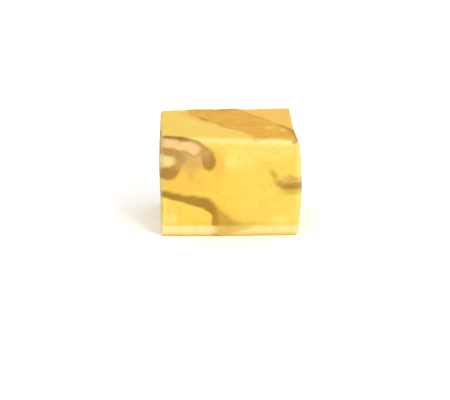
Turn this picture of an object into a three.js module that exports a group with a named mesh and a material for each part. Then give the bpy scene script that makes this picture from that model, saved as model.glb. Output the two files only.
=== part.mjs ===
// A cube of marbled fudge, cut by hand from a slab. It is one solid: soft knife-cut edges,
// a bevelled front foot, sides that belly out a little and a top that isn't quite level.
// Millimetres, +Z up. The origin is on the table, under the middle of the cube.
// The face at -Y is the front one, and +X is to its right.
import * as THREE from "three";
import { mergeVertices } from "three/addons/utils/BufferGeometryUtils.js";

// The block before the hand-cut form is added
const WIDTH = 29.9;
const DEPTH = 29.3;
const HEIGHT = 22.6;

// How far the rounding of an edge reaches along X, Y and Z, and what share is added to it
const EDGE_REACH = new THREE.Vector3(0.75, 0.95, 1.25);
const REACH_ADDED = {
  back: -0.65, // the front edges are the soft ones
  foot: 0.75, // upwards, so the foot has a tall rounding
  leftFoot: -0.8, // sideways, so the corners at the foot are nearly square
  rightFoot: -0.64,
  topRight: -0.8,
};
const FOOT_BEVEL = 0.75; // 0 rounds the front foot, 1 cuts it off straight

// How the cut sides depart from flat. Heights run from -1 at the foot to 1 at the top.
const LEFT_BELLY = { out: 0.3, height: 0.35, spread: 0.4 };
const RIGHT_BELLY = { out: 1.28, height: 0, spread: 0.8 };
const FRONT_BELLY = 0.6;
const RIGHT_FOOT_OUT = 0.67;
const RIGHT_FOOT_NICK = { depth: 0.2, upTo: 3.4, fullAt: 1.6 };
const FRONT_RIGHT_FLARE = 0.6; // the top right edge swings out at the front
const LEFT_BACK_IN = 0.09;
const RIGHT_DEEPER = 0.6;
const LEFT_SHALLOWER = 0.68;

// How the top departs from level
const TOP_FALLS_RIGHT = 0.18;
const TOP_RISES_BACK = 0.11;
const TOP_TWIST = 0.38;

// The marbled band that crosses the top from the back to the right stands a little proud
const BAND = {
  rise: 0.15,
  halfWidth: 6,
  shoulder: 1.4,
  middle: new THREE.Vector2(3.3, 0),
  heading: THREE.MathUtils.degToRad(-60),
};

// Long, shallow waves that the knife and the setting tray leave on every face but the foot
const WAVE_HEIGHT = 0.05;
const WAVES = [
  { length: 17.0, heading: new THREE.Vector3(0.8, 0.5, 0.3), phase: 0.6 },
  { length: 11.5, heading: new THREE.Vector3(-0.3, 0.7, 0.6), phase: 2.1 },
  { length: 8.0, heading: new THREE.Vector3(0.5, -0.4, 0.8), phase: 4.0 },
];

// The mesh: each side of the block has this many steps, and the outer ones make the edges
const STEPS = 24;
const FLAT_SHARE = 0.75;

// Goes smoothly from 0 to 1 as x goes from one value to the other, whichever is the larger.
function ease(x, from, to) {
  const t = THREE.MathUtils.clamp((x - from) / (to - from), 0, 1);
  return t * t * (3 - 2 * t);
}

// The reach of the rounding at a place on the block. across, back and up run from -1 to 1.
function edgeReach({ x: across, y: back, z: up }) {
  const foot = ease(up, 0.3, -1);
  const left = ease(across, 0, -1);
  const right = ease(across, 0, 1);
  const reach = EDGE_REACH.clone().multiplyScalar(1 + REACH_ADDED.back * back);
  reach.z *= 1 + REACH_ADDED.foot * foot;
  reach.x *= 1 + foot * (REACH_ADDED.leftFoot * left + REACH_ADDED.rightFoot * right);
  reach.x *= 1 + REACH_ADDED.topRight * right * ease(up, 0.2, 1);
  return reach;
}

// The exponent of the rounding's curve: 2 is a circle, and nearer 1 is a straight bevel.
function edgeCurve({ y: back, z: up }) {
  return 2 - FOOT_BEVEL * ease(up, -0.2, -1) * ease(back, 0.9, -0.6);
}

// A point of the plain block with its edges rounded, and the way that its surface faces.
function roundedBlock(place) {
  const reach = edgeReach(place);
  const curve = edgeCurve(place);
  const core = new THREE.Vector3();
  const facing = new THREE.Vector3();
  const half = new THREE.Vector3(WIDTH, DEPTH, HEIGHT).multiplyScalar(0.5);
  for (const axis of ["x", "y", "z"]) {
    const side = Math.sign(place[axis]);
    const along = Math.abs(place[axis]);
    const inEdge = THREE.MathUtils.clamp((along - FLAT_SHARE) / (1 - FLAT_SHARE), 0, 1);
    core[axis] = side * Math.min(along / FLAT_SHARE, 1) * (half[axis] - reach[axis]);
    facing[axis] = side * Math.tan((inEdge * Math.PI) / 4);
  }
  const sum = ["x", "y", "z"].reduce((total, axis) => total + Math.abs(facing[axis]) ** curve, 0);
  const point = facing.clone().multiply(reach).divideScalar(sum ** (1 / curve)).add(core);
  return { point, facing: facing.normalize() };
}

// A swelling of a side: a bell curve over the height.
function belly({ out, height, spread }, up) {
  return out * Math.exp(-(((up - height) / spread) ** 2));
}

// How far the hand-cut form moves a point of the block that stands at this height.
function handCut({ x: across, y: back, z: up }, height) {
  const left = ease(across, 0, -1);
  const right = ease(across, 0, 1);
  const bellies = right * belly(RIGHT_BELLY, up) - left * belly(LEFT_BELLY, up);
  const flare = FRONT_RIGHT_FLARE * ease(across, 0.2, 1) * (ease(back, 0, -0.9) - 0.5) * ease(up, -1, 0.9);
  const nick = RIGHT_FOOT_NICK.depth * ease(height, RIGHT_FOOT_NICK.upTo, RIGHT_FOOT_NICK.fullAt);
  const foot = RIGHT_FOOT_OUT * ease(across, 0.3, 1) * ease(up, -0.3, -1) - nick * ease(across, 0.5, 1);
  const aside = bellies + flare + foot + LEFT_BACK_IN * left * back;
  const bow = FRONT_BELLY * (1 - across * across) * ease(back, 0.5, -1);
  const deeper = (RIGHT_DEEPER * right - LEFT_SHALLOWER * left) * ease(back, -0.8, 1);
  const tilt = TOP_RISES_BACK * back - TOP_FALLS_RIGHT * across + TOP_TWIST * across * back;
  return new THREE.Vector3(aside, deeper - bow, (tilt * (up + 1)) / 2);
}

// The height of the marbled band above the top: a low crest that fades out across its heading.
function bandRise(point, up) {
  const from = new THREE.Vector2(point.x, point.y).sub(BAND.middle);
  const aside = from.y * Math.cos(BAND.heading) - from.x * Math.sin(BAND.heading);
  const crest = ease(Math.abs(aside), BAND.halfWidth + BAND.shoulder, BAND.halfWidth - BAND.shoulder);
  return BAND.rise * crest * ease(up, 0.9, 1);
}

// The height of the long waves: a sum of plane waves that fades out towards the edges.
function waviness(point, place) {
  const sum = WAVES.reduce((total, wave) => {
    const turns = point.dot(wave.heading) / wave.heading.length() / wave.length;
    return total + Math.sin(2 * Math.PI * turns + wave.phase);
  }, 0);
  const inFace = [place.x, place.y, place.z].map(Math.abs).sort((a, b) => a - b).slice(0, 2);
  const fade = inFace.reduce((product, along) => product * (1 - along ** 4), 1);
  return WAVE_HEIGHT * sum * fade * ease(place.z, -1, -FLAT_SHARE);
}

// One closed surface: a gridded unit cube, with every vertex carried to the fudge's form.
function fudgeGeometry() {
  const box = new THREE.BoxGeometry(2, 2, 2, STEPS, STEPS, STEPS);
  box.deleteAttribute("normal");
  box.deleteAttribute("uv");
  const geometry = mergeVertices(box, 1e-4);
  const positions = geometry.getAttribute("position");
  const place = new THREE.Vector3();
  for (let i = 0; i < positions.count; i++) {
    place.fromBufferAttribute(positions, i);
    const { point, facing } = roundedBlock(place);
    const wave = waviness(point, place);
    const rise = bandRise(point, place.z);
    point.z += HEIGHT / 2;
    point.add(handCut(place, point.z)).addScaledVector(facing, wave);
    positions.setXYZ(i, point.x, point.y, point.z + rise);
  }
  geometry.computeBoundingBox();
  const middle = geometry.boundingBox.getCenter(new THREE.Vector3());
  geometry.translate(-middle.x, -middle.y, 0);
  geometry.computeVertexNormals();
  return geometry;
}

const butterFudge = new THREE.MeshStandardMaterial({
  name: "butter_fudge",
  color: new THREE.Color().setStyle("rgb(254, 217, 98)"),
  roughness: 0.55,
  metalness: 0,
});

const cube = new THREE.Mesh(fudgeGeometry(), butterFudge);
cube.name = "fudge_cube";

const fudge = new THREE.Group();
fudge.name = "fudge";
fudge.add(cube);

export default fudge;
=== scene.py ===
# A cube of butter fudge marbled with caramel and cocoa, cut by hand from a slab.
# The shapes are worked out in millimetres and go into the mesh in metres.
# Across is +X to the right, back is +Y away from the viewer, up is +Z.
import math

import bpy
import numpy as np
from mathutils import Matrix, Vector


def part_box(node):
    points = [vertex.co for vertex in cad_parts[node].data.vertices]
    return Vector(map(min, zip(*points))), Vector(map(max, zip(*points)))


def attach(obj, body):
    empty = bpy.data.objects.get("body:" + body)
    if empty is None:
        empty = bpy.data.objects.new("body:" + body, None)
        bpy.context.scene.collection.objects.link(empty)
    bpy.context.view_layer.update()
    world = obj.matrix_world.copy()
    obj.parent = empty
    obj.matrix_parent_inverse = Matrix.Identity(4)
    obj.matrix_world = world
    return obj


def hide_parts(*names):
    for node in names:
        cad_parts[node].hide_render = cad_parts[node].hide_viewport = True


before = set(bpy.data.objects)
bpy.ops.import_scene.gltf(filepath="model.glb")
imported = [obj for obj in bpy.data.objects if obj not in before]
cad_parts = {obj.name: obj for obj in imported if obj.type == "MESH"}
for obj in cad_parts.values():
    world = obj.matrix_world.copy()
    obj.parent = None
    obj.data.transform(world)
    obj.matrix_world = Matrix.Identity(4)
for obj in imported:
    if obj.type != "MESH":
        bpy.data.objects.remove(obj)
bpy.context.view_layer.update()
metre = 0.001  # one millimetre in metres


# Goes smoothly from 0 to 1 as x goes from one value to the other: t*t*(3 - 2*t)
def ease(x, start, end):
    t = np.clip((x - start) / (end - start), 0.0, 1.0)
    return t * t * (3.0 - 2.0 * t)


# A random smooth field with values near -1 to 1: the sum of waves in many directions, whose
# lengths lie round the given one, scaled by the root of their number
def waviness(points, length, seed, waves=14, stretch=(1.0, 1.0, 1.0)):
    draw = np.random.default_rng(seed)
    total = np.zeros(len(points))
    for turn in range(waves):
        heading = draw.normal(size=3)
        heading *= np.array(stretch) / np.linalg.norm(heading)
        pitch = length * draw.uniform(0.7, 1.5)
        total += np.sin(points @ heading * (2 * math.pi / pitch) + draw.uniform(0, 2 * math.pi))
    return total / math.sqrt(waves)


block = {
    "width": 29.9, "depth": 29.3, "height": 22.6,
    "edgeReach": (0.75, 0.95, 1.25),  # how far an edge's rounding reaches along X, Y and Z
    "reachAtBack": -0.65,             # shares that are added to it
    "reachAtFoot": 0.75,
    "reachLeftFoot": -0.8,
    "reachRightFoot": -0.64,
    "reachTopRight": -0.8,
    "footBevel": 0.75,
    "leftBelly": (0.3, 0.35, 0.4),    # how far out, at what height from -1 to 1, how spread
    "rightBelly": (1.28, 0.0, 0.8),
    "frontBelly": 0.6,
    "rightFootOut": 0.67,
    "rightFootNick": (0.2, 3.4, 1.6), # how deep, and from what height down to what height it comes in
    "frontRightFlare": 0.6,
    "leftBackIn": 0.09,
    "rightDeeper": 0.6, "leftShallower": 0.68,
    "topFallsRight": 0.18, "topRisesBack": 0.11, "topTwist": 0.38,
    "flatShare": 0.75,                # of a side's parameter, the rest makes its edges
    "gridFlatShare": 0.86,            # of the mesh's steps
    "steps": (136, 136, 106),
}


# The quads of a grid of points, each as the numbers of its four corners
def gridQuads(shape):
    index = np.arange(shape[0] * shape[1]).reshape(shape)
    corners = [index[:-1, :-1], index[1:, :-1], index[1:, 1:], index[:-1, 1:]]
    return np.stack(corners, -1).reshape(-1, 4)


# The six sides of the cube from -1 to 1, each a grid of two parameters, welded where they meet
def cubeGrid():
    knots = [-1, -block["gridFlatShare"], block["gridFlatShare"], 1]
    values = [-1, -block["flatShare"], block["flatShare"], 1]
    lines = [np.interp(np.linspace(-1, 1, n + 1), knots, values) for n in block["steps"]]
    places, quads, count = [], [], 0
    for axis in range(3):
        first, second = (axis + 1) % 3, (axis + 2) % 3
        u, v = np.meshgrid(lines[first], lines[second], indexing="ij")
        faces = gridQuads(u.shape)
        for side in (1, -1):
            place = np.empty((u.size, 3))
            place[:, axis], place[:, first], place[:, second] = side, u.ravel(), v.ravel()
            places.append(place)
            quads.append((faces if side > 0 else faces[:, ::-1]) + count)
            count += u.size
    places, welded = np.unique(np.round(np.concatenate(places), 9), axis=0, return_inverse=True)
    return places, welded.ravel()[np.concatenate(quads)]


# A rounded block: a point is the flat core's nearest point plus the reach of the edges times the
# facing over its p-norm, where p is 2 for a round edge and nearer 1 for the bevelled foot
def roundedBlock(place):
    across, back, up = place.T
    left, right = ease(across, 0, -1), ease(across, 0, 1)
    foot = ease(up, 0.3, -1)
    reach = np.array(block["edgeReach"]) * (1 + block["reachAtBack"] * back)[:, None]
    reach[:, 2] *= 1 + block["reachAtFoot"] * foot
    reach[:, 0] *= 1 + foot * (block["reachLeftFoot"] * left + block["reachRightFoot"] * right)
    reach[:, 0] *= 1 + block["reachTopRight"] * right * ease(up, 0.2, 1)
    curve = (2 - block["footBevel"] * ease(up, -0.2, -1) * ease(back, 0.9, -0.6))[:, None]
    half = np.array([block["width"], block["depth"], block["height"]]) / 2
    inEdge = np.clip((np.abs(place) - block["flatShare"]) / (1 - block["flatShare"]), 0, 1)
    facing = np.sign(place) * np.tan(inEdge * math.pi / 4)
    core = np.sign(place) * np.minimum(np.abs(place) / block["flatShare"], 1) * (half - reach)
    norm = (np.abs(facing) ** curve).sum(1, keepdims=True) ** (1 / curve)
    return core + reach * facing / norm


# A bell-shaped belly over the height: how far out it goes, at what height, and how spread it is
def bell(belly, up):
    out, height, spread = belly
    return out * np.exp(-(((up - height) / spread) ** 2))


# The hand-cut form is added: bellies on both sides, a flared top corner, a broken foot, sides that
# aren't quite parallel, a bowed front and a top that is tilted and twisted
def handCut(place, points):
    across, back, up = place.T
    left, right = ease(across, 0, -1), ease(across, 0, 1)
    nick, nickTop, nickFull = block["rightFootNick"]
    height = points[:, 2] + block["height"] / 2
    aside = right * bell(block["rightBelly"], up) - left * bell(block["leftBelly"], up)
    flare = (ease(back, 0, -0.9) - 0.5) * ease(up, -1, 0.9)
    aside += block["frontRightFlare"] * ease(across, 0.2, 1) * flare
    aside += block["rightFootOut"] * ease(across, 0.3, 1) * ease(up, -0.3, -1)
    aside += block["leftBackIn"] * left * back
    aside -= nick * ease(height, nickTop, nickFull) * ease(across, 0.5, 1)
    deeper = (block["rightDeeper"] * right - block["leftShallower"] * left) * ease(back, -0.8, 1)
    deeper -= block["frontBelly"] * (1 - across**2) * ease(back, 0.5, -1)
    tilt = block["topRisesBack"] * back - block["topFallsRight"] * across
    tilt += block["topTwist"] * across * back
    return np.stack([points[:, 0] + aside, points[:, 1] + deeper, height + tilt * (up + 1) / 2], 1)


# The normal at each vertex: the mean of its faces' diagonals crossed
def vertexNormals(points, quads):
    corners = points[quads]
    cross = np.cross(corners[:, 2] - corners[:, 0], corners[:, 3] - corners[:, 1])
    normals = np.zeros_like(points)
    for corner in range(4):
        for axis in range(3):
            normals[:, axis] += np.bincount(quads[:, corner], cross[:, axis], len(points))
    return normals / np.linalg.norm(normals, axis=1, keepdims=True)


place, quads = cubeGrid()
points = handCut(place, roundedBlock(place))
low, high = (np.array(corner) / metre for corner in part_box("fudge_cube"))
points[:, :2] += ((low + high) / 2 - (points.min(0) + points.max(0)) / 2)[:2]
normals = vertexNormals(points, quads)
print("block:", len(points), "vertices,", len(quads), "faces")


# A smooth path through points: Catmull-Rom pieces, each cut into a few straight steps
def smoothPath(knots, cuts=6):
    knots = np.array(knots, float)
    ends = np.vstack([2 * knots[0] - knots[1], knots, 2 * knots[-1] - knots[-2]])
    t = np.linspace(0, 1, cuts, endpoint=False)[:, None]
    pieces = []
    for k in range(len(knots) - 1):
        a, b, c, d = ends[k:k + 4]
        squared = 2 * a - 5 * b + 4 * c - d
        cubed = 3 * b - a - 3 * c + d
        pieces.append(0.5 * (2 * b + (c - a) * t + squared * t**2 + cubed * t**3))
    return np.vstack(pieces + [knots[-1:]])


# For each point of a plane, its distance to the left of a path (negative to the right), how far
# along the path its nearest point is, from 0 to 1, and how far it lies beyond the path's ends
def besidePath(flat, knots):
    path = smoothPath(knots)
    best = np.full(len(flat), np.inf)
    aside, along, beyond = np.zeros(len(flat)), np.zeros(len(flat)), np.zeros(len(flat))
    count = len(path) - 1
    for k in range(count):
        step = path[k + 1] - path[k]
        offset = flat - path[k]
        t = offset @ step / (step @ step)
        held = np.clip(t, 0, 1)
        gap = offset - held[:, None] * step
        distance = np.hypot(gap[:, 0], gap[:, 1])
        nearer = distance < best
        side = np.where(step[0] * offset[:, 1] - step[1] * offset[:, 0] < 0, -1.0, 1.0)
        outside = (k == 0) & (t < 0) | (k == count - 1) & (t > 1)
        past = np.where(outside, np.abs(t - held) * math.hypot(*step), 0)
        best = np.where(nearer, distance, best)
        aside = np.where(nearer, side * distance, aside)
        along = np.where(nearer, (k + held) / count, along)
        beyond = np.where(nearer, past, beyond)
    return aside, along, beyond


# The density of a fold that was stirred into the slab: full from its path to core on the left of
# it, easing off over above and, on the right of the path, over below. Every width is given at the
# path's points.
def foldDensity(flat, fold):
    aside, along, beyond = besidePath(flat, fold["path"])

    def at(key):
        return np.interp(along, np.linspace(0, 1, len(fold[key])), fold[key])

    rise = ease(aside, -at("below"), 0)
    fall = 1 - ease(aside, at("core"), at("core") + at("above"))
    return at("strength") * rise * fall * (1 - ease(beyond, 0, fold.get("ends", 1.0)))


# The folds as the front face cuts them, across and up from the foot, with the path on their
# crisp side. They run on past the face, because the slab's folds drift as they go back. The
# gold is how golden their brown is, from 0 for a rosy brown to 1 for an olive one.
frontFolds = {
    "lowerBand": {
        "path": [(-22, 11.6), (-18, 10.6), (-14.6, 9.6), (-12.2, 8.7), (-10.0, 8.15), (-8.2, 7.6),
                 (-7.0, 7.1), (-5.8, 6.7), (-4.8, 6.0), (-4.15, 5.0), (-4.0, 3.8), (-4.0, 2.4),
                 (-4.0, 0.5)],
        "core": [0.5, 0.5, 0.5, 0.8, 0.9, 1.3, 1.7, 1.6, 1.3, 0.9, 0.7, 0.7, 0.7],
        "above": [1.1, 1.1, 1.1, 1.2, 1.2, 1.3, 1.4, 1.5, 1.6, 1.8, 2.6, 3.2, 3.2],
        "below": [0.7, 0.7, 0.7, 0.6, 0.6, 0.5, 0.45, 0.45, 0.4, 0.35, 0.3, 0.3, 0.3],
        "strength": [0.95, 0.95, 0.95, 1.0, 0.95, 0.97, 1.0, 0.96, 0.93, 0.92, 0.9, 0.8, 0.5],
        "gold": 0.9,
    },
    "footSmear": {
        "path": [(-3.9, 1.2), (-1.0, 1.3), (0.8, 1.6), (3.0, 2.0), (5.5, 2.5), (8.5, 3.1)],
        "core": [2.4, 2.6, 1.9, 0.8, 0.3, 0.1],
        "above": [2.4, 1.8, 1.7, 1.5, 1.2, 0.6],
        "below": [1.2, 1.2, 1.2, 1.0, 0.7, 0.5],
        "strength": [0.66, 0.66, 0.56, 0.36, 0.16, 0.0],
        "gold": 0.85, "ends": 0.4,
    },
    "arch": {
        "path": [(-3.6, 16.0), (-3.7, 17.6), (-4.3, 19.3), (-5.3, 20.6), (-6.6, 21.4), (-8.2, 22.1),
                 (-9.4, 22.8), (-11.6, 23.8), (-15.2, 24.1), (-20, 23.6)],
        "core": [0.8, 1.2, 1.6, 2.0, 2.6, 3.2, 4.3, 5.2, 5.5, 5.5],
        "above": [1.6, 1.8, 2.0, 2.2, 2.4, 2.4, 1.8, 1.4, 0.9, 0.8],
        "below": [0.25],
        "strength": [0.2, 0.45, 0.75, 0.85, 0.8, 0.76, 0.86, 0.9, 0.92, 0.92],
        "gold": 0.0,
    },
    "crescent": {
        "path": [(-22, 15.2), (-18.5, 14.4), (-15.4, 13.9), (-13.7, 13.75), (-12.6, 14.1), (-11.8, 15.2),
                 (-11.0, 16.5), (-10.5, 17.8)],
        "core": [2.2, 2.4, 2.6, 2.6, 2.2, 1.6, 1.3, 1.1],
        "above": [1.0],
        "below": [1.0, 1.0, 1.0, 0.9, 0.9, 1.0, 1.2, 1.4],
        "strength": [0.95, 0.97, 1.0, 1.0, 0.95, 0.85, 0.75, 0.6],
        "gold": 0.62,
    },
    "streak": {
        "path": [(-9.2, 17.4), (-9.1, 15.4), (-9.0, 13.8), (-8.9, 12.4)],
        "core": [0.4, 0.5, 0.5, 0.2],
        "above": [1.0, 0.9, 0.9, 0.8],
        "below": [1.3, 1.0, 0.9, 0.8],
        "strength": [0.42, 0.36, 0.26, 0.06],
        "gold": 1.0,
    },
    "rightSpot": {
        "path": [(8.5, 15.8), (8.8, 14.4), (9.7, 12.9), (10.7, 11.8), (12.0, 11.2), (14.8, 11.2),
                 (19, 11.8), (22, 13.4)],
        "core": [0.2, 0.5, 0.5, 0.8, 0.9, 0.9, 1.2, 1.0],
        "above": [0.9, 1.0, 1.0, 0.9, 0.9, 0.9, 1.2, 1.4],
        "below": [0.8, 0.9, 1.0, 1.0, 1.0, 1.2, 1.0, 0.9],
        "strength": [0.0, 0.16, 0.36, 0.74, 0.87, 0.87, 0.9, 0.8],
        "gold": 0.85,
    },
}

# The folds that only the slab's far half holds, in the same plane
backFolds = {
    "sweep": {
        "path": [(-20, 2.0), (-14, 3.2), (-9, 6.0), (-4, 5.2), (1, 7.6), (6, 12.0), (11, 13.6),
                 (20, 12.8)],
        "core": [0.8, 1.0, 1.9, 1.3, 1.6, 2.2, 1.5, 1.2],
        "above": [0.8, 1.0, 1.6, 1.2, 1.8, 1.6, 1.4, 1.2],
        "below": [0.3],
        "strength": [0.8, 0.9, 0.97, 0.8, 0.9, 1.0, 0.9, 0.8],
        "gold": 0.7,
    },
    "hook": {
        "path": [(22, 8.6), (17, 6.4), (12.6, 4.2), (9.2, 3.0), (6.4, 3.6), (4.6, 5.2), (4.0, 7.4),
                 (4.6, 9.2)],
        "core": [0.6, 0.8, 1.2, 1.5, 1.8, 1.9, 1.5, 0.8],
        "above": [1.6, 1.4, 1.2, 1.0, 1.2, 1.6, 1.6, 1.0],
        "below": [0.4, 0.4, 0.5, 0.6, 0.6, 0.6, 0.6, 0.6],
        "strength": [0.8, 0.85, 0.9, 0.97, 0.97, 0.95, 0.8, 0.3],
        "gold": 0.4,
    },
    "wisp": {
        "path": [(-20, 15.5), (-13, 14.0), (-9.5, 11.6), (-6.0, 12.4), (-2.5, 14.8)],
        "core": [0.7, 0.8, 0.6, 0.4, 0.2],
        "above": [1.0, 1.2, 1.2, 1.0, 0.8],
        "below": [0.4],
        "strength": [0.8, 0.85, 0.7, 0.5, 0.15],
        "gold": 0.3,
    },
}

slab = {
    "frontY": -14.9, "length": 29.6,   # where the folds are as listed, and how far back they run
    "driftAcross": (2.6, 1.5, 2.3),    # a slide and a sway in millimetres, and the sway's half turns
    "driftUp": (5.6, 1.1, 1.7),
    "pressedFrom": -14.4,              # the Y from which the folds are pressed over on to the top
    "warpAcross": 1.7, "warpUp": 1.36, # the stirring that adds to it away from the front
    "warpLength": 12.0,
    "fade": (0.4, 0.9),                # where the front folds give way to the back ones
    "tongues": (0.3, 4.5),             # how unevenly they do so, and the length of that
    "backShift": (2.6, 6.0),           # how far the back folds lie from where they are listed
    "ragged": (0.10, 2.3),             # how far, and over what length, every fold's edge wanders
}


# Where a point of the slab lies in the plane of the listed folds. The folds are pressed over the
# top front edge, so the top goes on upwards there.
def intoFoldPlane(points, normals):
    depth = np.clip((points[:, 1] - slab["frontY"]) / slab["length"], 0, 1)
    slide, sway, halfTurns = slab["driftAcross"]
    across = points[:, 0] + slide * depth + sway * np.sin(halfTurns * math.pi * depth) * depth
    slide, sway, halfTurns = slab["driftUp"]
    up = points[:, 2] + slide * depth + sway * (1 - np.cos(halfTurns * math.pi * depth)) / 2
    up += (points[:, 1] - slab["pressedFrom"]) * ease(normals[:, 2], 0.5, 0.95)
    stirred = ease(depth, 0.02, 0.4)
    across += slab["warpAcross"] * stirred * waviness(points, slab["warpLength"], 11)
    up += slab["warpUp"] * stirred * waviness(points, slab["warpLength"], 12)
    ragged, raggedLength = slab["ragged"]
    across += ragged * waviness(points, raggedLength, 13)
    up += ragged * waviness(points, raggedLength, 14)
    return np.stack([across, up], 1), depth


# How much of the front folds, and not the back ones, a point of the slab holds: 1 near the front
# and 0 near the back, with uneven tongues between
def frontShare(points, depth):
    share = 1 - ease(depth, *slab["fade"])
    tongue, tongueLength = slab["tongues"]
    uneven = 4 * tongue * share * (1 - share)
    return np.clip(share + uneven * waviness(points, tongueLength, 17, 14, (1, 0.3, 1.5)), 0, 1)


# A soft oval patch: full inside the first distance and gone beyond the second, both as shares of
# its half size. It can lean, narrow to a point on its right, be squarer than an oval and be cut
# off on its left along a straight line, which can lean too.
def patch(flat, spot):
    across, up = ((flat - spot["at"]) / spot["half"]).T
    across = across + spot.get("lean", 0) * up
    up = up / (1 - spot.get("point", 0) * ease(across, 0, 1))
    square = spot.get("square", 2)
    distance = (np.abs(across) ** square + np.abs(up) ** square) ** (1 / square)
    edge = spot.get("cutLeft", -math.inf) + spot.get("cutLean", 0) * (spot["at"][1] - flat[:, 1])
    cut = ease(flat[:, 0] - edge, -0.25, 0.15)
    return spot["strength"] * ease(distance, spot["soft"][1], spot["soft"][0]) * cut


# Patches of cocoa on the front: the dark lobe that the arch ends in, with a golden rim, thin
# brown veils beside it, the wedge under the lower band and the tail of the right spot
cocoaPatches = {
    "lobe": {
        "at": (-5.25, 18.1), "half": (1.9, 3.0), "lean": 0.2, "square": 2.4, "soft": (0.7, 1.15),
        "strength": 0.97, "cutLeft": -6.55, "cutLean": 0.22, "gold": 0.8,
        "fadeUp": (22.5, 17.8),  # the height where it is gone, and where it is whole
    },
    "besideBlob": {
        "at": (-11.3, 18.3), "half": (2.7, 2.7), "soft": (0.3, 1.1), "strength": 1.0, "gold": 0.35,
    },
    "besideLobe": {
        "at": (-8.8, 18.2), "half": (4.4, 4.2), "soft": (0.35, 1.1), "strength": 0.52, "gold": 0.3,
    },
    "wedge": {
        "at": (-2.2, 4.5), "half": (2.8, 3.0), "lean": 0.95, "soft": (0.35, 1.15), "strength": 0.6,
        "cutLeft": -4.0, "gold": 0.8,
    },
    "overSpot": {
        "at": (13.5, 13.0), "half": (3.3, 1.3), "soft": (0.3, 1.15), "strength": 0.56, "gold": 0.0,
    },
    "underSpot": {
        "at": (13.6, 10.5), "half": (3.6, 1.1), "soft": (0.3, 1.1), "strength": 0.42, "gold": 1.0,
    },
    "tail": {
        "at": (9.5, 14.2), "half": (1.3, 1.8), "lean": 0.4, "soft": (0.1, 1.1), "strength": 0.52,
        "gold": 1.0,
    },
}

# The pale blob that the crescent closes round, caramel that has bled into the yellow, and places
# where the yellow is paler: those high on the front are a painted highlight
blob = {
    "at": (-15.4, 17.5), "half": (4.1, 1.8), "point": 0.25, "square": 2.6, "soft": (0.45, 1.12),
    "strength": 1.0,
}
bled = {
    "zone": {"at": (-10.5, 12.9), "half": (9.6, 4.6), "soft": (0.35, 1.1), "strength": 0.8},
    "besideLobe": {"at": (-3.1, 16.5), "half": (2.1, 4.0), "soft": (0.45, 1.25), "strength": 0.95},
    "underArch": {"at": (-8.6, 17.4), "half": (4.0, 3.4), "soft": (0.4, 1.1), "strength": 0.9},
    "aboveBand": {
        "at": (-9.0, 10.6), "half": (7.0, 1.4), "lean": 0.2, "soft": (0.3, 1.1), "strength": 0.3,
    },
    "besideBand": {
        "at": (-2.4, 6.8), "half": (2.4, 2.2), "lean": 0.8, "soft": (0.3, 1.1), "strength": 0.55,
    },
    "underBand": {
        "at": (1.5, 4.2), "half": (5.0, 1.6), "lean": 0.6, "soft": (0.3, 1.1), "strength": 0.4,
    },
}
palerAndHighlit = {
    "spot": {"at": (0.0, 17.3), "half": (1.9, 2.0), "square": 3, "soft": (0.3, 1.2), "strength": 0.85},
    "besideSpot": {
        "at": (2.3, 18.2), "half": (5.2, 3.8), "square": 2.5, "soft": (0.2, 1.1), "strength": 0.5,
    },
    "topRight": {"at": (9.5, 19.8), "half": (8.0, 3.2), "soft": (0.3, 1.1), "strength": 0.5},
    "leftFoot": {"at": (-13.4, 4.4), "half": (2.2, 2.4), "soft": (0.2, 1.1), "strength": 0.8},
    "rightFoot": {"at": (11.0, 4.0), "half": (3.2, 1.6), "soft": (0.2, 1.1), "strength": 0.6},
}

# The caramel band across the top, between two sides in plan
topBand = {
    "lower": [(-9.8, 17), (-9.3, 13.5), (-9.2, 8.6), (-8.2, 6.0), (-6.5, 4.1), (-4.8, 1.4), (-3.6, -1.0),
              (-2.2, -3.8), (-0.9, -5.8), (1.4, -7.8), (3.2, -10.4), (4.5, -13.2), (5.0, -17)],
    "upper": [(1.0, 17), (3.0, 13.2), (4.6, 10.4), (6.6, 7.2), (8.6, 4.0), (10.2, 0.6), (11.8, -1.8),
              (13.4, -4.4), (14.5, -7.6), (15.0, -11.0), (15.2, -17)],
    "skin": 0.75,             # how deep its film goes into the cube
    "skinWaves": (0.5, 7.0),  # how far, and over what length, that varies
    "root": 9.0,              # how deep the mass under it goes at the back
    "rootFrom": (0, 15),      # the Y where it starts, and where it is deepest
    "rootWaves": (0.15, 6.0), # the share by which it varies, and over what length
    "lean": 0.35,             # how far that mass leans over, for each millimetre down
    "leanFrom": 1.0,          # the depth where it starts to
    "massStrength": 0.8, "massStreaks": 0.12,
    "streakLength": 3.4, "streakStretch": (1.6, 1, 0.5),
    "film": (0.5, 1.6),       # the depth where the film's tan gives way to the mass's brown
    "tongue": 3.2,            # how far the band runs down at the right edge
    "tongueFrom": (13.0, 15.5),
}

# Two pale crumbs that lie in the band, in plan, and how much of the band they cover
crumbCovers = 0.8
crumbs = [
    {"at": (9.0, -4.9), "half": (1.5, 1.6), "soft": (0.6, 1.1), "strength": 1.0},
    {"at": (11.8, -7.2), "half": (0.95, 1.35), "soft": (0.6, 1.1), "strength": 1.0},
]


# A fold that runs out: its soft sides go first and its core last, as its share goes to 0
def runOut(density, share):
    return np.clip(density - (1 - share), 0, 1) / np.maximum(share, 0.25)


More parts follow.
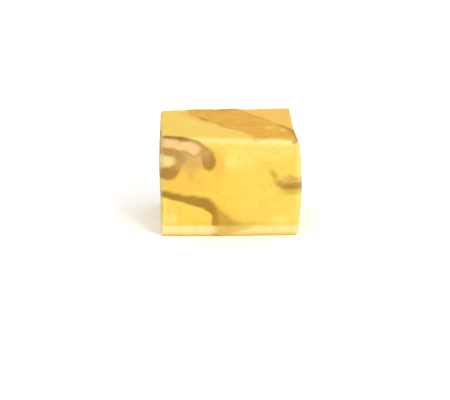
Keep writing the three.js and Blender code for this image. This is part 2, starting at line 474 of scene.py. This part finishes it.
# How much of the top band is at a point: between its two sides in plan, and no deeper than its
# film, or than the lens-shaped mass that it grows into towards the back
def bandDensity(points):
    varied, varyLength = topBand["skinWaves"]
    depth = block["height"] - points[:, 2] + varied * waviness(points, varyLength, 21)
    plan = points[:, :2].copy()
    plan[:, 0] += topBand["lean"] * np.maximum(depth - topBand["leanFrom"], 0)
    fromLower = besidePath(plan, topBand["lower"])[0]
    fromUpper = -besidePath(plan, topBand["upper"])[0]
    width = np.maximum(fromLower + fromUpper, 0.1)
    lens = np.clip(4 * fromLower * fromUpper / width**2, 0, 1) ** 0.7
    varied, varyLength = topBand["rootWaves"]
    root = topBand["root"] * ease(plan[:, 1], *topBand["rootFrom"]) * lens
    root *= 1 + varied * waviness(points, varyLength, 22)
    tongue = topBand["tongue"] * ease(plan[:, 0], *topBand["tongueFrom"]) * ease(fromUpper, -0.2, 1.5)
    reach = topBand["skin"] + root + tongue
    inside = ease(fromLower, -0.3, 0.8) * ease(fromUpper, -0.3, 0.4)
    return inside * (1 - ease(depth, reach, reach + 0.7 + 0.12 * root)), fromLower, fromUpper, depth


# How near a point is to an edge of the cube, from 0 on the flats to 1 on the edge's middle
def edgeShare(place):
    inEdge = np.clip((np.abs(place) - block["flatShare"]) / (1 - block["flatShare"]), 0, 1)
    return np.sort(inEdge, axis=1)[:, 1]


# How golden the cocoa is beyond what its folds say: the lobe's rim, and a slow drift
goldTint = {
    "lobeRim": 0.5, "lobeAt": (-5.9, 18.1), "lobeHalf": (2.2, 2.8), "lobeRimFrom": (0.75, 1.1),
    "drift": 0.3, "driftLength": 6.5, "calmInFront": 0.7,
}


# How dense the cocoa is, as the densest fold or patch at a point, and how golden, as their mean
def cocoaFolds(points, flat, nearShare, patches):
    densities = [runOut(foldDensity(flat, fold), nearShare) for fold in frontFolds.values()]
    densities += list(patches.values())
    behind = flat - slab["backShift"]
    densities += [runOut(foldDensity(behind, fold), 1 - nearShare) for fold in backFolds.values()]
    golds = [fold["gold"] for group in (frontFolds, cocoaPatches, backFolds) for fold in group.values()]
    tinted = sum(density * tint for density, tint in zip(densities, golds))
    gold = tinted / np.maximum(sum(densities), 0.01)
    fromLobe = np.hypot(*((flat - goldTint["lobeAt"]) / goldTint["lobeHalf"]).T)
    gold += goldTint["lobeRim"] * patches["lobe"] * ease(fromLobe, *goldTint["lobeRimFrom"])
    drift = goldTint["drift"] * (1 - goldTint["calmInFront"] * nearShare)
    gold += drift * waviness(points, goldTint["driftLength"], 18)
    return np.maximum.reduce(densities), gold


# A line drawn at a distance: a bell curve of that width over the distance from its middle
def lineAt(distance, middle, width):
    return np.exp(-(((distance - middle) / width) ** 2))


# Along the arch's outer side runs a thin dark crease, a groove darkened with painted shade, with a strip
# of painted highlight inside it and then a darker line. They lie at distances from the arch's path, and
# start at shares of its length.
archLines = {
    "overEdge": (0.55, 0.75),  # where the arch's side has gone over on to the top
    "shadedCrease": (0.05, 0.34),    # how far in its middle is, and how wide it is
    "creaseOnTop": (0.7, 0.58),  # what the top adds to both
    "creaseFrom": (0.36, 0.5), "creaseInFront": 0.6,
    "creaseEndsAt": (-15.3, -14.2),  # across the cube
    "shiftOnTop": 0.75,        # how far in the strip and the line move on the top
    "stripRises": (0.5, 1.2), "stripFalls": (3.1, 2.5), "stripFrom": (0.36, 0.48),
    "stripLostOnSide": 0.65, "stripClears": 0.9,  # how much cocoa it takes away
    "innerLine": (3.4, 0.5), "innerFrom": (0.62, 0.8),
}


# The arch's crease with its painted shade, its strip of painted highlight and its inner line
def archMarks(points, normals, flat, nearShare):
    aside, along, beyond = besidePath(flat, frontFolds["arch"]["path"])
    onArch = (1 - ease(beyond, 0, 1)) * nearShare
    overEdge = ease(along, *archLines["overEdge"])
    middle, width = archLines["shadedCrease"]
    fartherIn, wider = archLines["creaseOnTop"]
    shadedCrease = lineAt(aside, middle + fartherIn * overEdge, width + wider * overEdge)
    inFront = archLines["creaseInFront"]
    shadedCrease *= ease(along, *archLines["creaseFrom"]) * (inFront + (1 - inFront) * overEdge)
    shadedCrease *= ease(points[:, 0], *archLines["creaseEndsAt"]) * onArch
    inside = aside - archLines["shiftOnTop"] * overEdge
    litStrip = ease(inside, *archLines["stripRises"]) * ease(inside, *archLines["stripFalls"])
    litStrip *= ease(along, *archLines["stripFrom"]) * onArch
    litStrip *= 1 - archLines["stripLostOnSide"] * ease(normals[:, 0], -0.5, -0.9)
    inner = lineAt(inside, *archLines["innerLine"]) * ease(along, *archLines["innerFrom"]) * onArch
    return shadedCrease, litStrip, inner


# The top band's creases, grooves darkened with painted shade: how far in from its side, how wide and
# how strong, and the X between which they show. Then its darker back end, and how far the caramel has
# bled over the top.
bandLines = {
    "upper": (0.45, 0.8, 0.64), "upperFrom": (10.2, 12.4),
    "lower": (0.3, 0.6, 0.5), "lowerFrom": (-7.2, -6.2), "lowerTo": (-3.4, -5.4),
    "backEnd": 0.42, "backEndFrom": (11.0, 13.6),
    "bledUpper": (0.6, -0.9), "bledUpperTo": (15.2, 13.8),
    "bledLower": (-2.6, -0.6), "bledLowerFrom": (-4, 2),
    "bledFront": 0.3, "bledFrontFrom": (2, -7),
}


# The creases along parts of the top band's two sides, darkened with painted shade
def bandCreases(points, fromLower, fromUpper):
    inset, width, strength = bandLines["upper"]
    upper = strength * lineAt(fromUpper, inset, width)
    upper *= ease(points[:, 0], *bandLines["upperFrom"])
    inset, width, strength = bandLines["lower"]
    lower = strength * lineAt(fromLower, inset, width)
    lower *= ease(points[:, 0], *bandLines["lowerFrom"]) * ease(points[:, 0], *bandLines["lowerTo"])
    return np.maximum(upper, lower)


# Where caramel has bled into the butter: in patches, beside the top band and over the top's front
def bledCaramel(points, normals, flat, nearShare, fromLower, fromUpper, onTop):
    across, back = points[:, 0], points[:, 1]
    besideUpper = ease(fromUpper, *bandLines["bledUpper"]) * ease(across, *bandLines["bledUpperTo"])
    besideLower = ease(fromLower, *bandLines["bledLower"]) * ease(back, *bandLines["bledLowerFrom"])
    onFrontTop = ease(normals[:, 2], 0.7, 0.97) * ease(back, *bandLines["bledFrontFrom"])
    inPatches = np.maximum.reduce([patch(flat, spot) for spot in bled.values()]) * nearShare
    return np.maximum.reduce([inPatches, besideUpper * onTop, besideLower * onTop,
                              bandLines["bledFront"] * onFrontTop])


# The edges dry first and turn pale, and a painted highlight lies on them as well. The rim is ragged on
# the uprights and behind, and strongest in front, where most of it is painted highlight.
driedAndHighlitEdges = {
    "uneven": 0.04, "unevenAway": 0.3, "unevenLength": 1.9,  # what the uprights and the back add
    "behind": 0.4, "uprights": 0.65,  # the shares that they have
    "leftUpright": 0.25, "leftUprightFrom": (-13.6, -14.8),
    "rightFoot": 0.4, "rightFootFrom": (13.6, 14.8),  # what the right upright loses low down
    "palerAcross": (13.4, 15.3), "palerStrength": 0.75,  # the front's outer parts are paler too
}


# How dried each point of the edges is, with the painted highlight that goes with it
def driedAndHighlitRim(points, place, onEdge):
    upright = ease(np.abs(place[:, 2]), 0.98, 0.8)
    inFront = ease(place[:, 1], 0.4, -0.8)
    uneven = driedAndHighlitEdges["uneven"] + driedAndHighlitEdges["unevenAway"] * np.maximum(upright, 1 - inFront)
    uneven *= waviness(points, driedAndHighlitEdges["unevenLength"], 41)
    rim = ease(onEdge + uneven, 0.15, 1.0) * ease(onEdge, 0, 0.35)
    rim *= driedAndHighlitEdges["behind"] + (1 - driedAndHighlitEdges["behind"]) * inFront
    rim *= 1 - (1 - driedAndHighlitEdges["uprights"]) * upright
    onLeft = ease(points[:, 0], *driedAndHighlitEdges["leftUprightFrom"]) * inFront * upright
    rim *= 1 + driedAndHighlitEdges["leftUpright"] * onLeft
    onRight = ease(points[:, 0], *driedAndHighlitEdges["rightFootFrom"]) * inFront * upright
    return rim * (1 - driedAndHighlitEdges["rightFoot"] * onRight * ease(place[:, 2], 0.3, -0.3))


# The bevel at the front foot is the driest place, and its colour is painted paler still, as light over
# the shade that the bevel faces.
# It starts below this height, and a fold that reaches it leaves only a faint stain, the more so towards
# the left.
foot = {
    "height": (2.95, 2.45), "plainFrom": (-2.2, -4.9),
    "cocoaLost": 0.58, "stainFrom": (0.03, 0.35), "stainBlush": 0.5, "stainRim": 0.7,
    "stainFoot": 0.6, "fadesRight": 0.3,
}

# How creamy the blob is, how strong the painted highlight on the arch's strip is, and how creamy the
# veil beside the lobe is
creamAndHighlightShares = (0.95, 0.85, 0.4)

flat, depth = intoFoldPlane(points, normals)
nearShare = frontShare(points, depth)
blobShare = runOut(patch(flat, blob), nearShare)
patches = {name: runOut(patch(flat, spot), nearShare) for name, spot in cocoaPatches.items()}
patches["lobe"] *= ease(flat[:, 1], *cocoaPatches["lobe"]["fadeUp"])
cocoa, gold = cocoaFolds(points, flat, nearShare, patches)
gold += blobShare

band, fromLower, fromUpper, bandDepth = bandDensity(points)
belowFilm = ease(bandDepth, *topBand["film"])
streaks = ease(waviness(points, topBand["streakLength"], 23, 14, topBand["streakStretch"]), -1, 1.5)
mass = topBand["massStrength"] * (1 - topBand["massStreaks"] * streaks)
cocoa = np.maximum(cocoa, mass * band * belowFilm)
bandTop = band * (1 - belowFilm)

# The arch's crease is painted shade and its strip a painted highlight, which clears the cocoa that it
# lies on
shadedCrease, highlightStrip, innerLine = archMarks(points, normals, flat, nearShare)
cocoa = np.maximum(cocoa * (1 - archLines["stripClears"] * highlightStrip), innerLine)
onTop = 1 - ease(bandDepth, 0.9, 2.4)
shadedCrease = np.maximum(shadedCrease, onTop * bandCreases(points, fromLower, fromUpper))
atBackEnd = bandTop * ease(points[:, 1], *bandLines["backEndFrom"])
cocoa = np.maximum(cocoa, bandLines["backEnd"] * atBackEnd)

blush = bledCaramel(points, normals, flat, nearShare, fromLower, fromUpper, onTop)
paleAndHighlit = np.maximum.reduce([patch(flat, spot) for spot in palerAndHighlit.values()]) * nearShare
# The outer parts of the front are painted paler, as highlight along the rounded uprights
outerFront = ease(-normals[:, 1], 0.2, 0.8) * ease(np.abs(points[:, 0]), *driedAndHighlitEdges["palerAcross"])
paleAndHighlit = np.maximum(paleAndHighlit, driedAndHighlitEdges["palerStrength"] * outerFront)
crumb = np.maximum.reduce([patch(points[:, :2], spot) for spot in crumbs]) * onTop
bandTop = bandTop * (1 - crumbCovers * crumb)
blush = np.maximum(blush, crumb)

onEdge = edgeShare(place)
rim = driedAndHighlitRim(points, place, onEdge)
onFrontFoot = ease(points[:, 2], *foot["height"]) * ease(place[:, 1], -0.7, -0.95)
onFrontFoot *= ease(np.abs(place[:, 0]), 1.01, 0.9)
softened = 1 - onFrontFoot * ease(flat[:, 0], *foot["plainFrom"])
stain = ease(cocoa, *foot["stainFrom"]) * onFrontFoot * softened
cocoa *= softened
cocoa *= 1 - foot["cocoaLost"] * onFrontFoot
blush = np.maximum(blush, foot["stainBlush"] * stain)
rim *= 1 - foot["stainRim"] * stain
onFrontFoot *= (1 - foot["stainFoot"] * stain) * (1 - foot["fadesRight"] * ease(points[:, 0], -6, 6))
creamAndHighlightParts = [blobShare, highlightStrip, patches["besideLobe"]]
creamAndHighlight = np.maximum.reduce([share * parts for share, parts in zip(creamAndHighlightShares, creamAndHighlightParts)])
print("marbling: cocoa over", round(float((cocoa > 0.5).mean()), 3), "of the surface")


relief = {
    "swell": (0.045, 4.5),    # height and length of soft unevenness
    "drag": (0.014, 1.0),     # lines that the knife drags down the cut sides
    "crumble": (0.016, 1.3),  # the roughness that the crumb leaves everywhere
    "pits": 420, "pitRadius": (0.14, 0.42), "pitDepth": (0.05, 0.22),
    # A pit's darkening is painted shade
    "darkPit": 0.2,           # the depth from which a pit is darkest
    "chips": 150, "chipRadius": (0.3, 0.8), "chipDepth": (0.02, 0.13),
    "creaseDepth": 0.12, "cocoaSink": 0.035,
    "bandRise": 0.12, "crumbRise": 0.15,
}


# Small hollows at random vertices: each is a bell of depth over the distance from its middle
def hollows(points, middles, radii, depths):
    sunk = np.zeros(len(points))
    for middle, radius, deep in zip(middles, radii, depths):
        near = np.flatnonzero(np.abs(points[:, 0] - middle[0]) < 2.2 * radius)
        gap = ((points[near] - middle) ** 2).sum(1) / radius**2
        sunk[near] = np.maximum(sunk[near], deep * np.exp(-(gap**1.5)))
    return sunk


# Pits lie away from the edges, and chips along the edges but not round the foot
draw = np.random.default_rng(5)
flats = np.flatnonzero(rim < 0.05)
edges = np.flatnonzero((onEdge > 0.75) & (place[:, 2] > -0.9))
pitAt = points[draw.choice(flats, relief["pits"])]
chipAt = points[draw.choice(edges, relief["chips"])]
pitRadii = draw.uniform(*relief["pitRadius"], relief["pits"]) * draw.uniform(0.5, 1, relief["pits"])
pitDepths = draw.uniform(*relief["pitDepth"], relief["pits"])
pits = hollows(points, pitAt, pitRadii, pitDepths)
chipRadii = draw.uniform(*relief["chipRadius"], relief["chips"])
chipDepths = draw.uniform(*relief["chipDepth"], relief["chips"])
chips = hollows(points, chipAt, chipRadii, chipDepths)

onCutSide = ease(np.abs(normals[:, 2]), 0.5, 0.1)
onBand = ease(fromLower, -0.3, 0.4) * ease(fromUpper, -0.25, 0.2) * onTop
onBand *= ease(normals[:, 2], 0.6, 0.95)
swell, swellLength = relief["swell"]
drag, dragLength = relief["drag"]
crumble, crumbleLength = relief["crumble"]
rise = swell * waviness(points, swellLength, 31)
rise += drag * onCutSide * waviness(points, dragLength, 32, 18, (1, 1, 0.06))
rise += crumble * (1 + rim) * waviness(points, crumbleLength, 33, 24)
rise += relief["bandRise"] * onBand + relief["crumbRise"] * crumb
rise -= relief["creaseDepth"] * shadedCrease + relief["cocoaSink"] * ease(cocoa, 0.2, 0.8)
rise -= np.maximum(pits, chips)
rise *= ease(normals[:, 2], -0.99, -0.6)  # the foot stays flat
points += normals * rise[:, None]
points = np.clip(points, low, high)


# A mesh from whole arrays, shaded smooth, with one value for each vertex under each name
def meshPiece(name, points, quads, values):
    mesh = bpy.data.meshes.new(name)
    mesh.vertices.add(len(points))
    mesh.vertices.foreach_set("co", (points * metre).astype(np.float32).ravel())
    mesh.loops.add(quads.size)
    mesh.loops.foreach_set("vertex_index", quads.ravel().astype(np.int32))
    mesh.polygons.add(len(quads))
    mesh.polygons.foreach_set("loop_start", np.arange(0, quads.size, quads.shape[1], dtype=np.int32))
    mesh.polygons.foreach_set("use_smooth", np.ones(len(quads), bool))
    mesh.update(calc_edges=True)
    for key, value in values.items():
        mesh.attributes.new(key, "FLOAT", "POINT").data.foreach_set("value", value.astype(np.float32))
    piece = bpy.data.objects.new(name, mesh)
    bpy.context.scene.collection.objects.link(piece)
    return piece


# What the finish reads at each vertex
masks = {
    "cocoa": cocoa, "gold": np.clip(gold, 0, 1), "band": bandTop, "shadedCrease": shadedCrease, "blush": blush,
    "creamAndHighlight": creamAndHighlight, "paleAndHighlit": paleAndHighlit, "rim": rim, "foot": onFrontFoot,
    "pitShade": np.clip(pits / relief["darkPit"], 0, 1), "cutSide": onCutSide,
}
fudge = meshPiece("marbledFudge", points, quads, masks)
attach(fudge, "root")
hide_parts("fudge_cube")


lighting = {"strength": 1.285, "sheen": 0.012}  # what the light adds up to, and what gloss adds


# A surface's own colour, in linear light, from how it looks on screen under the studio light
def screen(red, green, blue):
    linear = [((v / 255 + 0.055) / 1.055) ** 2.4 for v in (red, green, blue)]
    return [max(v - lighting["sheen"], 0.004) / lighting["strength"] for v in linear] + [1.0]


# A socket with the usual operators, each of which adds a Math node
class Wire:
    def __init__(self, socket):
        self.socket = socket

    # Any node: its settings are set first, then its sockets by name or number
    @staticmethod
    def node(tree, kind, settings=None, sockets=None):
        made = tree.nodes.new("ShaderNode" + kind)
        for key, value in (settings or {}).items():
            setattr(made, key, value)
        for key, value in (sockets or {}).items():
            if isinstance(value, Wire):
                tree.links.new(value.socket, made.inputs[key])
            else:
                made.inputs[key].default_value = value
        return made

    def math(self, operation, *others, clamp=False):
        inputs = dict(enumerate((self,) + others))
        settings = {"operation": operation, "use_clamp": clamp}
        return Wire(Wire.node(self.socket.id_data, "Math", settings, inputs).outputs[0])

    def __add__(self, other):
        return self.math("ADD", other)

    def __sub__(self, other):
        return self.math("SUBTRACT", other)

    def __rsub__(self, other):
        return self.math("MULTIPLY_ADD", -1.0, other)

    def __mul__(self, other):
        return self.math("MULTIPLY", other)

    __radd__ = __add__
    __rmul__ = __mul__

    # 0 at low and before it, 1 at high and beyond it, and a smooth step between
    def step(self, low, high):
        start, end, first, last = (low, high, 0.0, 1.0) if low < high else (high, low, 1.0, 0.0)
        sockets = {"Value": self, "From Min": start, "From Max": end, "To Min": first, "To Max": last}
        settings = {"interpolation_type": "SMOOTHSTEP"}
        return Wire(Wire.node(self.socket.id_data, "MapRange", settings, sockets).outputs[0])


# Two colours mixed by a factor
def mixColour(tree, factor, first, second, blend="MIX"):
    settings = {"data_type": "RGBA", "blend_type": blend}
    return Wire(Wire.node(tree, "Mix", settings, {0: factor, 6: first, 7: second}).outputs[2])


fudgeFinish = {
    "butter": screen(254, 219, 97), "butterDeep": screen(253, 215, 88),
    "butterPaleAndHighlight": screen(254, 233, 130), "orange": screen(254, 201, 86),
    "bandTan": screen(241, 183, 52), "bandDeep": screen(230, 165, 58),
    "cocoaGold": screen(180, 134, 42), "cocoaRosy": screen(196, 148, 88),
    # The crease colour is painted shade where it darkens the creases, and the deeper brown of cocoa
    # elsewhere
    "deepBrownAndCreaseShade": screen(158, 115, 18),
    "creamRosyAndHighlight": screen(250, 204, 146), "creamGold": screen(250, 224, 146),
    # The dried sugar colour is both the paleness of dried sugar and a painted highlight on the edges,
    # and the specks use it for sugar alone
    "driedSugarAndHighlight": screen(255, 242, 172), "driedAndLitFoot": (0.88, 0.79, 0.38, 1.0),
    # The dried foot colour above is also painted light, over the shade that the downward-facing bevel is
    # in
    "driedAndHighlitMost": 0.78,
    # the same split tints the painted shade in the pits and pores
    "shade": (0.7, 1.0, 1.7),   # how much the grain darkens red, green and blue
    "roughness": 0.55, "specular": 0.2,
    "subsurface": 0.06, "subsurfaceRadius": (1.0, 0.6, 0.25), "subsurfaceScale": 0.0012,
    "bumpStrength": 0.5, "bumpDistance": 0.0002,
}

# Each noise's scale, detail and roughness, and how it is stretched along X, Y and Z
fudgeNoise = {
    "slow": (90, 2, 0.5, None),
    "patchy": (420, 4, 0.6, None),
    "ragged": (900, 5, 0.65, None),
    "grain": (2600, 4, 0.6, None),
    "fine": (7000, 2, 0.5, None),
    "dragged": (1500, 4, 0.6, (1.0, 1.0, 0.05)),
    "folded": (230, 3, 0.5, (0.6, 0.5, 1.6)),
    "tanDepth": (260, 4, 0.6, None),
    "brownDepth": (310, 4, 0.6, None),
}
fudgeCells = {"crystals": 3100, "pores": 640}

# Where each noise or mask starts to show, and where it shows in full
fudgeSteps = {
    "butter": (0.35, 0.7), "tan": (0.38, 0.72), "brown": (0.42, 0.75),
    "veins": (0.05, 0.0), "veinPatches": (0.4, 0.6),
    "pores": (0.15, 0.07), "porePatches": (0.5, 0.62),
    "film": (0.1, 0.8), "folds": (0.02, 0.3), "footStain": (0.0, 0.5), "specks": (0.66, 0.8),
}

# How strong each of them is, and how much a noise breaks it up
fudgeShares = {
    "veins": 0.4, "brown": 0.2, "cocoa": 1.04, "specks": 0.35,
    "poresBroken": 0.2, "filmBroken": 0.4, "cocoaBroken": 0.36, "creamBroken": 0.3,
    "driedAndHighlit": 0.58, "driedAndHighlitBroken": 0.6, "lessOnRosyCream": 0.6, "lessOnCocoa": 0.5,
    "foot": 0.6, "footBroken": 0.3, "creaseBroken": 0.6,
}

# How much each of these darkens the colour, which in the pits and pores is painted shade, how high it
# stands and how rough it makes the surface
grainShade = {"pitShade": 0.07, "pores": 0.06, "crystals": 0.05, "grain": 0.12, "fine": 0.1, "dragged": 0.08}
grainHeight = {"grain": 0.6, "fine": 0.3, "ragged": 0.6, "dragged": 0.5, "crystals": 0.3, "pores": 0.4}
grainRough = {"grain": 0.3, "slow": 0.12, "rim": 0.1, "cutSide": 0.08}


def marbledFudgeMaterial():
    finish, steps, share = fudgeFinish, fudgeSteps, fudgeShares
    material = bpy.data.materials.new("marbledFudge")
    material.use_nodes = True
    tree = material.node_tree
    tree.nodes.clear()
    where = Wire(Wire.node(tree, "TexCoord").outputs["Object"])
    mask = {}
    for name in masks:
        mask[name] = Wire(Wire.node(tree, "Attribute", {"attribute_name": name}).outputs["Fac"])

    def noise(name):
        scale, detail, roughness, stretch = fudgeNoise[name]
        at = where
        if stretch:
            product = Wire.node(tree, "VectorMath", {"operation": "MULTIPLY"}, {0: where, 1: stretch})
            at = Wire(product.outputs[0])
        sockets = {"Vector": at, "Scale": scale, "Detail": detail, "Roughness": roughness}
        return Wire(Wire.node(tree, "TexNoise", {}, sockets).outputs[0])

    def cells(name):
        sockets = {"Vector": where, "Scale": fudgeCells[name]}
        return Wire(Wire.node(tree, "TexVoronoi", {}, sockets).outputs["Distance"])

    slow, patchy, ragged = noise("slow"), noise("patchy"), noise("ragged")
    grain, fine, dragged = noise("grain"), noise("fine"), noise("dragged")
    crystals, pores = cells("crystals"), cells("pores")
    pores = (pores + (grain - 0.5) * share["poresBroken"]).step(*steps["pores"])
    pores = pores * patchy.step(*steps["porePatches"])
    cutSide = mask["cutSide"]

    # Butter fudge, a little paler or deeper from place to place, and faintly folded
    veins = (noise("folded") - 0.5).math("ABSOLUTE").step(*steps["veins"])
    veins = veins * patchy.step(*steps["veinPatches"])
    colour = mixColour(tree, slow.step(*steps["butter"]), finish["butterDeep"], finish["butter"])
    # Paler patches, and a painted highlight high on the front and at its outer parts
    colour = mixColour(tree, mask["paleAndHighlit"], colour, finish["butterPaleAndHighlight"])
    orange = mask["blush"].math("MAXIMUM", veins * share["veins"])
    colour = mixColour(tree, orange, colour, finish["orange"])

    # The caramel film on the top, then cocoa, golden in some folds and rosier in others
    tanDepth, brownDepth = noise("tanDepth"), noise("brownDepth")
    tan = mixColour(tree, tanDepth.step(*steps["tan"]), finish["bandTan"], finish["bandDeep"])
    film = (mask["band"] + (ragged - 0.5) * share["filmBroken"]).step(*steps["film"])
    colour = mixColour(tree, film, colour, tan)
    brown = mixColour(tree, mask["gold"], finish["cocoaRosy"], finish["cocoaGold"])
    darker = brownDepth.step(*steps["brown"]) * share["brown"]
    brown = mixColour(tree, darker, brown, finish["deepBrownAndCreaseShade"])
    broken = (ragged - 0.5) * share["cocoaBroken"] * mask["cocoa"].step(*steps["folds"])
    density = (mask["cocoa"] + broken).math("MULTIPLY", share["cocoa"], clamp=True)
    colour = mixColour(tree, density, colour, brown)
    # The same cream colours paint the highlight on the arch's strip, rosy where the cocoa is
    creamAndHighlight = mixColour(tree, mask["gold"], finish["creamRosyAndHighlight"], finish["creamGold"])
    broken = (ragged - 0.5) * share["creamBroken"] * mask["creamAndHighlight"].step(*steps["folds"])
    colour = mixColour(tree, (mask["creamAndHighlight"] + broken).math("MULTIPLY", 1.0, clamp=True), colour, creamAndHighlight)

    # Edges dry first and turn pale, the front foot most of all. The pale rim is partly painted
    # highlight, and the foot is painted paler against the shade that its bevel faces. The creases lie
    # over that as painted shade.
    driedAndHighlit = mask["rim"] * (share["driedAndHighlit"] + (patchy - 0.5) * share["driedAndHighlitBroken"])
    driedAndHighlit = driedAndHighlit * (1.0 - mask["creamAndHighlight"] * (1.0 - mask["gold"]) * share["lessOnRosyCream"])
    driedAndHighlit = driedAndHighlit * (1.0 - mask["cocoa"] * share["lessOnCocoa"])
    colour = mixColour(tree, driedAndHighlit.math("MINIMUM", finish["driedAndHighlitMost"]), colour, finish["driedSugarAndHighlight"])
    driedAndLitFoot = mask["foot"] * (share["foot"] + (ragged - 0.5) * share["footBroken"])
    driedAndLitFoot = driedAndLitFoot * (1.0 - mask["cocoa"].step(*steps["footStain"]))
    colour = mixColour(tree, driedAndLitFoot, colour, finish["driedAndLitFoot"])
    # The creases are darkened with painted shade
    creaseShade = mask["shadedCrease"] * (1.0 + (ragged - 0.5) * share["creaseBroken"])
    colour = mixColour(tree, creaseShade.math("MULTIPLY", 1.0, clamp=True), colour, finish["deepBrownAndCreaseShade"])

    # Sugar crystals: pale specks, and grain that shades the colour, blue most and red least, with
    # painted shade in the pits and pores
    specks = fine.step(*steps["specks"]) * share["specks"]
    colour = mixColour(tree, specks, colour, finish["driedSugarAndHighlight"])
    dark = mask["pitShade"] * grainShade["pitShade"] + pores * grainShade["pores"]
    dark = dark + (crystals - 0.5) * grainShade["crystals"]
    dark = dark - (grain - 0.5) * grainShade["grain"] - (fine - 0.5) * grainShade["fine"]
    dark = dark - (dragged - 0.5) * grainShade["dragged"] * cutSide
    red, green, blue = (1.0 - dark * amount for amount in finish["shade"])
    tint = Wire.node(tree, "CombineXYZ", {}, {0: red, 1: green, 2: blue})
    colour = mixColour(tree, 1.0, colour, Wire(tint.outputs[0]), "MULTIPLY")

    rough = (grain - 0.5) * grainRough["grain"] + (slow - 0.5) * grainRough["slow"] + finish["roughness"]
    rough = rough + mask["rim"] * grainRough["rim"] + cutSide * grainRough["cutSide"]
    height = (grain - 0.5) * grainHeight["grain"] + (fine - 0.5) * grainHeight["fine"]
    height = height + (ragged - 0.5) * grainHeight["ragged"]
    height = height + (dragged - 0.5) * grainHeight["dragged"] * cutSide
    height = height - crystals * grainHeight["crystals"] - pores * grainHeight["pores"]
    sockets = {"Strength": finish["bumpStrength"], "Distance": finish["bumpDistance"], "Height": height}
    bump = Wire.node(tree, "Bump", {}, sockets)
    shader = Wire.node(tree, "BsdfPrincipled", {"subsurface_method": "RANDOM_WALK"}, {
        "Base Color": colour, "Roughness": rough, "Normal": Wire(bump.outputs[0]),
        "Specular IOR Level": finish["specular"], "Subsurface Weight": finish["subsurface"],
        "Subsurface Radius": finish["subsurfaceRadius"], "Subsurface Scale": finish["subsurfaceScale"],
    })
    Wire.node(tree, "OutputMaterial", {}, {"Surface": Wire(shader.outputs[0])})
    return material


fudge.data.materials.append(marbledFudgeMaterial())
print("fudge: finished")


stageSet = {
    "floorSize": 4.0, "floorLines": 9,
    "floorUp": -0.01,                 # in millimetres, so that it doesn't meet the cube's foot
    "floorColour": (0.97, 0.97, 0.965, 1.0), "floorRoughness": 0.9, "floorSpecular": 0.1,
    "horizon": 0.4, "overhead": 1.4,  # how bright the white sky is, from its edge to its middle
    "lampPlace": (0.60, -1.10, 0.72), "lampSize": 0.45, "lampPower": 9.0,
}


# A flat floor as a grid of two parameters, with a plain pale finish
def paleFloor():
    t = np.linspace(-0.5, 0.5, stageSet["floorLines"]) * stageSet["floorSize"] / metre
    u, v = np.meshgrid(t, t, indexing="ij")
    flatPoints = np.stack([u.ravel(), v.ravel(), np.full(u.size, stageSet["floorUp"])], 1)
    floor = meshPiece("paleFloor", flatPoints, gridQuads(u.shape), {})
    material = bpy.data.materials.new("paleFloor")
    material.use_nodes = True
    shader = material.node_tree.nodes["Principled BSDF"]
    shader.inputs["Base Color"].default_value = stageSet["floorColour"]
    shader.inputs["Roughness"].default_value = stageSet["floorRoughness"]
    shader.inputs["Specular IOR Level"].default_value = stageSet["floorSpecular"]
    floor.data.materials.append(material)


# A white sky that brightens upwards, and one large soft lamp in front and to the right
def studioLight():
    world = bpy.data.worlds.new("whiteSky")
    world.use_nodes = True
    tree = world.node_tree
    heading = Wire(Wire.node(tree, "TexCoord").outputs["Object"])
    up = Wire(Wire.node(tree, "SeparateXYZ", {}, {0: heading}).outputs["Z"]).math("MAXIMUM", 0.0)
    glow = up * (stageSet["overhead"] - stageSet["horizon"]) + stageSet["horizon"]
    background = tree.nodes["Background"]
    background.inputs["Color"].default_value = (1.0, 1.0, 1.0, 1.0)
    tree.links.new(glow.socket, background.inputs["Strength"])
    bpy.context.scene.world = world
    lamp = bpy.data.lights.new("softLamp", "AREA")
    lamp.size, lamp.energy = stageSet["lampSize"], stageSet["lampPower"]
    holder = bpy.data.objects.new("softLamp", lamp)
    holder.location = stageSet["lampPlace"]
    x, y, z = stageSet["lampPlace"]
    holder.rotation_euler = (math.atan2(math.hypot(x, y), z), 0, math.atan2(x, -y))
    bpy.context.scene.collection.objects.link(holder)


view = {
    "distance": 0.430, "elevation": 15.0, "azimuth": -1.6,
    "lens": 150.0, "sensor": 36.0, "clipStart": 0.01,
    "aimAcross": -0.00036, "aimUp": 0.00453,  # where it aims, beside and above the block's foot
    "blockShift": (-0.000527, 0.000028),      # from the block as cut to its place in the frame
}


# The camera stands back from its aim along the azimuth and the elevation
def photoCamera():
    azimuth, elevation = math.radians(view["azimuth"]), math.radians(view["elevation"])
    right = np.array([math.cos(azimuth), math.sin(azimuth), 0.0])
    away = np.array([math.sin(azimuth), -math.cos(azimuth), 0.0])
    up = np.array([0.0, 0.0, 1.0])
    aim = np.array([*view["blockShift"], 0.0]) + right * view["aimAcross"] + up * view["aimUp"]
    back = away * math.cos(elevation) + up * math.sin(elevation)
    camera = bpy.data.cameras.new("photoView")
    camera.lens = view["lens"]
    camera.sensor_width = view["sensor"]
    camera.clip_start = view["clipStart"]
    holder = bpy.data.objects.new("photoView", camera)
    holder.location = aim + back * view["distance"]
    holder.rotation_euler = (math.pi / 2 - elevation, 0, azimuth)
    bpy.context.scene.collection.objects.link(holder)
    bpy.context.scene.camera = holder


paleFloor()
studioLight()
photoCamera()
bpy.context.scene.view_settings.view_transform = "Standard"
bpy.context.scene.view_settings.look = "None"
print("stage: floor, sky, lamp and camera")
